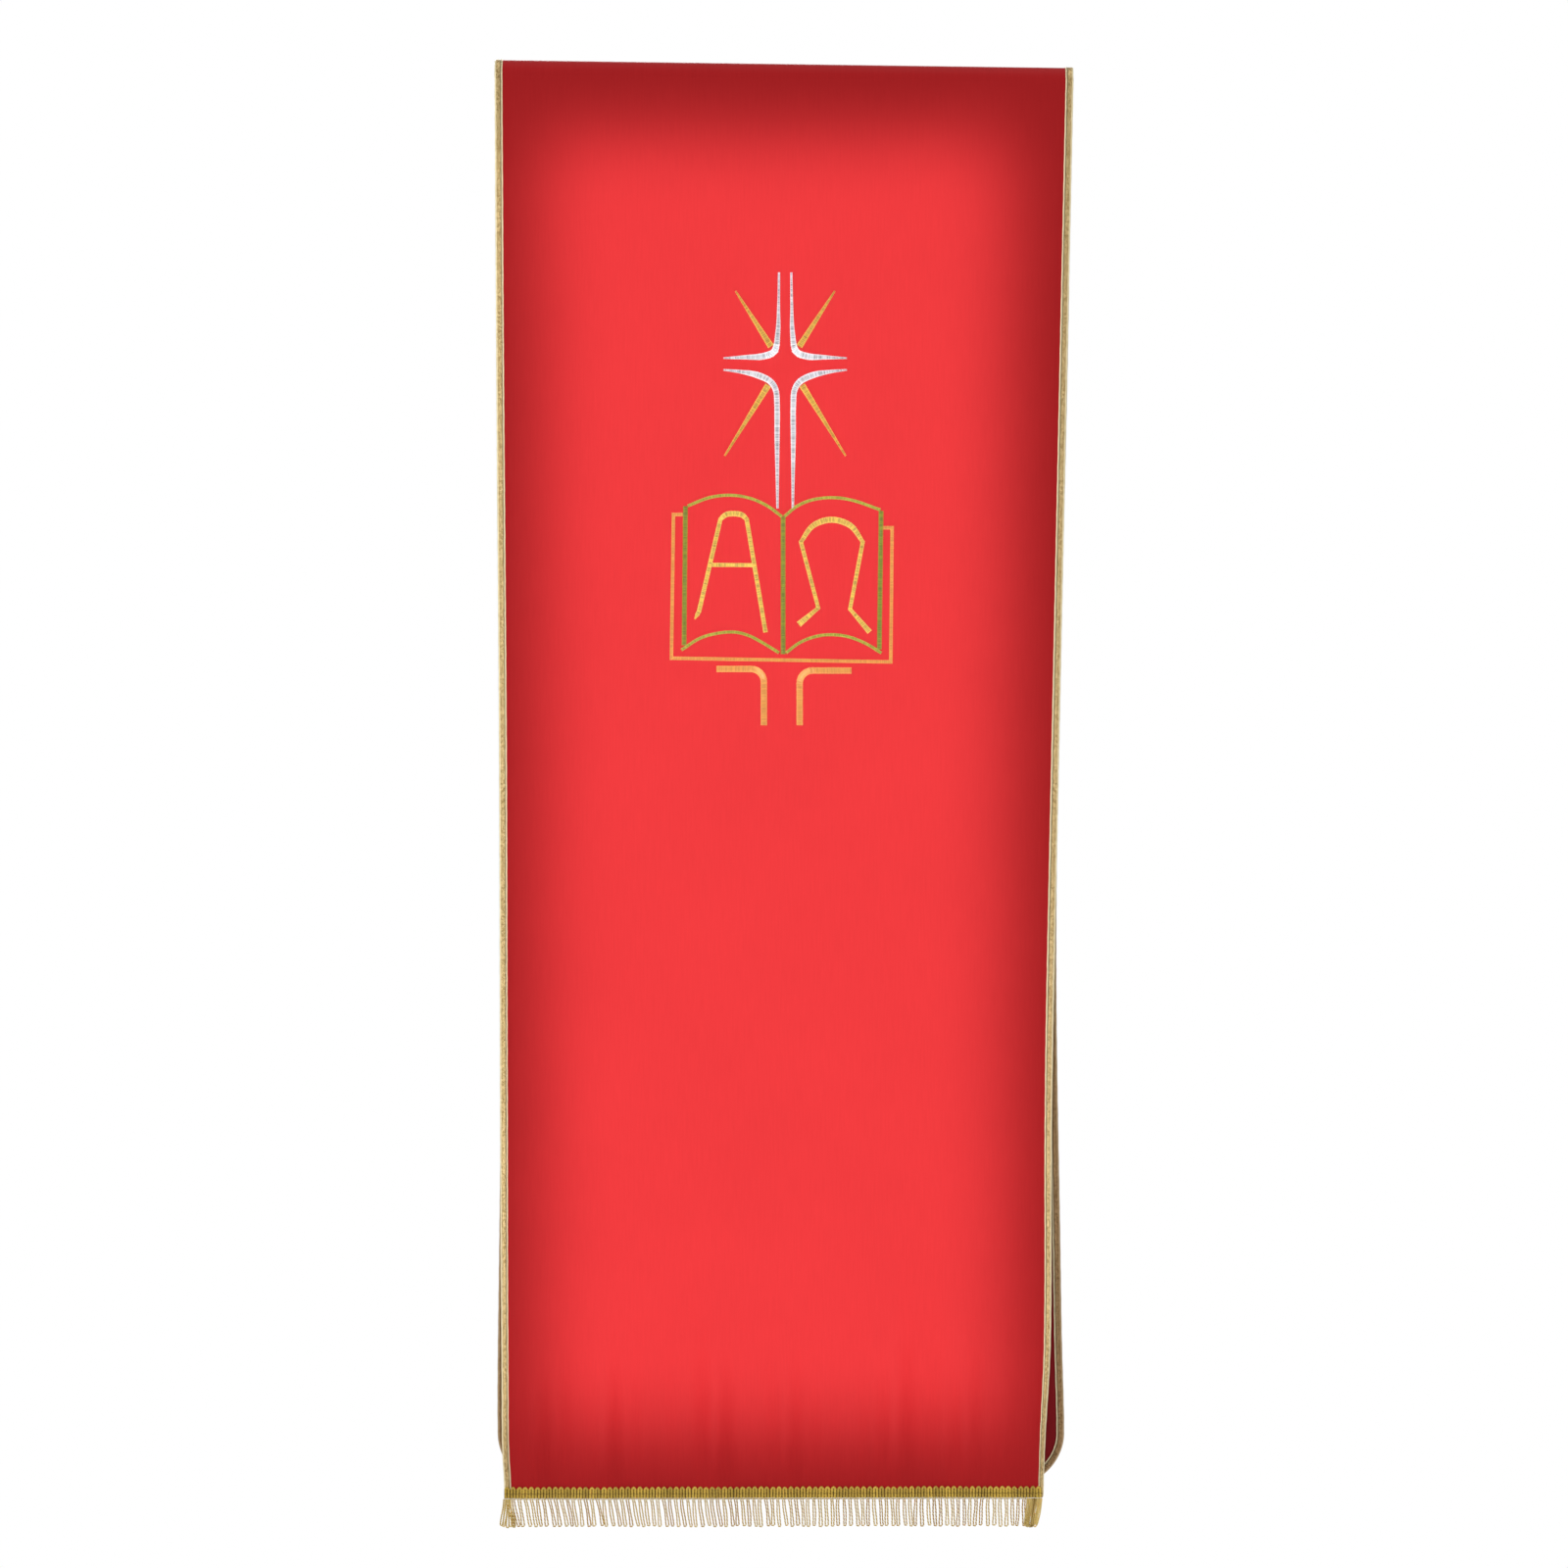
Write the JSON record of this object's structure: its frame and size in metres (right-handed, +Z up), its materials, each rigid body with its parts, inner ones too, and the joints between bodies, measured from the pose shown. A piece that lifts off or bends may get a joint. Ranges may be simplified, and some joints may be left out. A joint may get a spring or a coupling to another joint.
{
  "type": "lectern cover",
  "caption": "Red cloth lectern cover over a bar: taped edges, embroidered cross and open book, looped gold fringe, plain rounded rear fall.",
  "frame": {"origin": "the middle of the line where the underside of the fold rests on top of the bar", "axes": "+X across the cover, to the right seen from its embroidered front; -Y the embroidered front; +Z up, with both falls hanging down"},
  "size_m": [0.5, 0.0288, 1.2658],
  "materials": {
    "red_cloth": "plain weave polyester, soft satin sheen",
    "gold_tape": "metallic fold-over tape",
    "gimp_gold": "woven gimp with a lustre",
    "fringe_cord": "two-ply metallic cord",
    "silver_thread": "satin stitch, bright",
    "gold_thread": "satin stitch, bright",
    "green_thread": "satin stitch",
    "orange_thread": "satin stitch",
    "backing": "non-woven, matte"
  },
  "bodies": {
    "top_fold": {"top_fold_cloth": "red_cloth", "top_fold_binding_left": "gold_tape", "top_fold_binding_right": "gold_tape"},
    "front_fall": {"front_fall_cloth": "red_cloth", "front_binding_left": "gold_tape", "front_binding_right": "gold_tape", "fringe_header": "gimp_gold", "embroidery_backing": "backing", "cross_upper_left": "silver_thread", "cross_upper_right": "silver_thread", "cross_lower_left": "silver_thread", "cross_lower_right": "silver_thread", "ray_upper_left": "gold_thread", "ray_upper_right": "gold_thread", "ray_lower_left": "gold_thread", "ray_lower_right": "gold_thread", "book_spine": "green_thread", "page_edge_left": "green_thread", "page_edge_right": "green_thread", "page_top_left": "green_thread", "page_top_right": "green_thread", "page_bottom_left": "green_thread", "page_bottom_right": "green_thread", "book_cover_outline": "orange_thread", "alpha": "gold_thread", "alpha_bar": "gold_thread", "omega": "gold_thread", "stand_left": "orange_thread", "stand_right": "orange_thread"},
    "fringe": {"fringe_loops": "fringe_cord"},
    "rear_fall": {"rear_fall_cloth": "red_cloth", "rear_binding_left": "gold_tape", "rear_binding_right": "gold_tape", "rear_end_binding": "gold_tape"}
  },
  "joints": [
    {"name": "front_fall_swing", "type": "hinge", "parent": "top_fold", "child": "front_fall", "pos_m": [0, -0.0128, -0.0125], "axis": [-1, 0, 0], "range_deg": [0, 90]},
    {"name": "rear_fall_swing", "type": "hinge", "parent": "top_fold", "child": "rear_fall", "pos_m": [0, 0.0128, -0.0125], "axis": [1, 0, 0], "range_deg": [0, 90]},
    {"name": "fringe_swing", "type": "hinge", "parent": "front_fall", "child": "fringe", "pos_m": [0, -0.0142, -1.2418], "axis": [-1, 0, 0], "range_deg": [-90, 90]}
  ]
}
